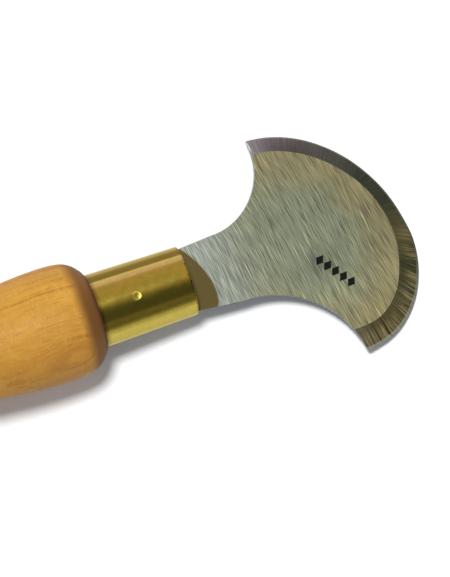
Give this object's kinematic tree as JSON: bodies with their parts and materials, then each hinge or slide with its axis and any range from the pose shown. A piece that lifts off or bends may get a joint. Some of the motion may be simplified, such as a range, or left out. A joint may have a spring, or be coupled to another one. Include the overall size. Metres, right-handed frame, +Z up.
{
  "type": "half-moon hand knife",
  "caption": "Hand knife with a skewed crescent blade ground along its outer curve, a flat neck, a staked brass ferrule and a turned wooden handle.",
  "frame": {"origin": "under the centre of the knife's box, on the surface that it lies on", "axes": "+X along the knife from butt to blade, as it lies with the blade's edge and the handle's belly on the surface; +Y towards the shorter, upper horn; +Z up"},
  "size_m": [0.1896, 0.0632, 0.0416],
  "materials": {
    "blade_steel": "surface-ground tool steel with cross grinding marks and a bare ground bevel",
    "ferrule_brass": "polished brass",
    "handle_beech": "beech under honey-coloured satin lacquer",
    "bedding_resin": "cured dark resin"
  },
  "bodies": {
    "root": {"blade": "blade_steel", "ferrule": "ferrule_brass", "handle": "handle_beech", "tang_bedding": "bedding_resin"}
  },
  "joints": []
}
